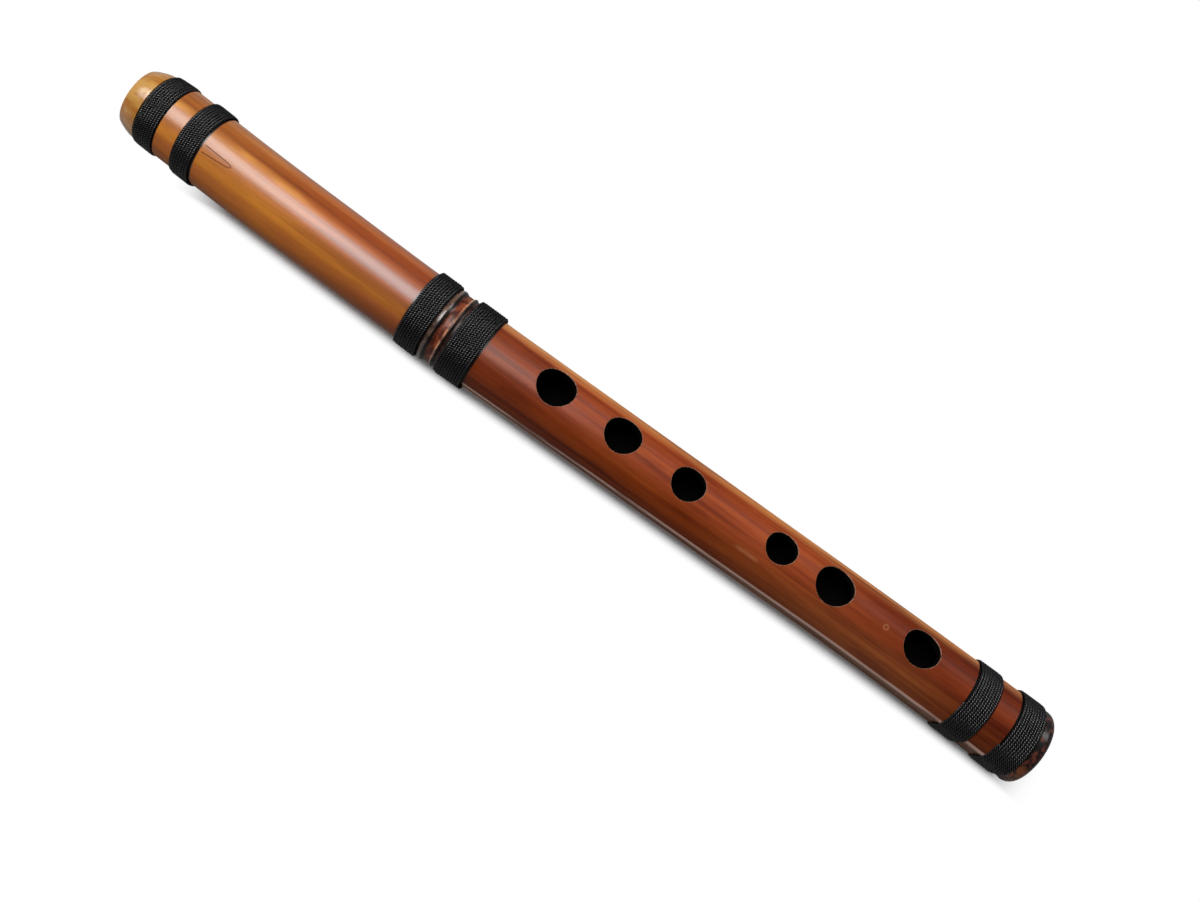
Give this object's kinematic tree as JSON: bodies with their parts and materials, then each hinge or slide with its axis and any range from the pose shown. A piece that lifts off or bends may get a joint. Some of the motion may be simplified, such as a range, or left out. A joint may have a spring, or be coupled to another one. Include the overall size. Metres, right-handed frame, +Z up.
{
  "type": "kawala",
  "caption": "Straight bamboo rim-blown flute with a bevelled mouth, oval finger holes along one side, a node and bindings of wound black cord.",
  "frame": {"origin": "bottom centre of the bounding box, on the surface that the flute lies on", "axes": "+X along the tube from the mouth to the foot, +Z up in the direction that the finger holes face, +Y to the left of someone looking from the mouth to the foot"},
  "size_m": [0.3502, 0.0292, 0.0277],
  "materials": {
    "lacquered_bamboo": "stained bamboo under gloss lacquer, orange-brown at the mouth and red-brown below the node",
    "black_cord": "twisted black cord with a slight sheen"
  },
  "bodies": {
    "root": {"bamboo_tube": "lacquered_bamboo", "binding_mouth_outer": "black_cord", "binding_mouth_inner": "black_cord", "binding_node_upper": "black_cord", "binding_node_lower": "black_cord", "binding_foot_inner": "black_cord", "binding_foot_outer": "black_cord"}
  },
  "joints": []
}
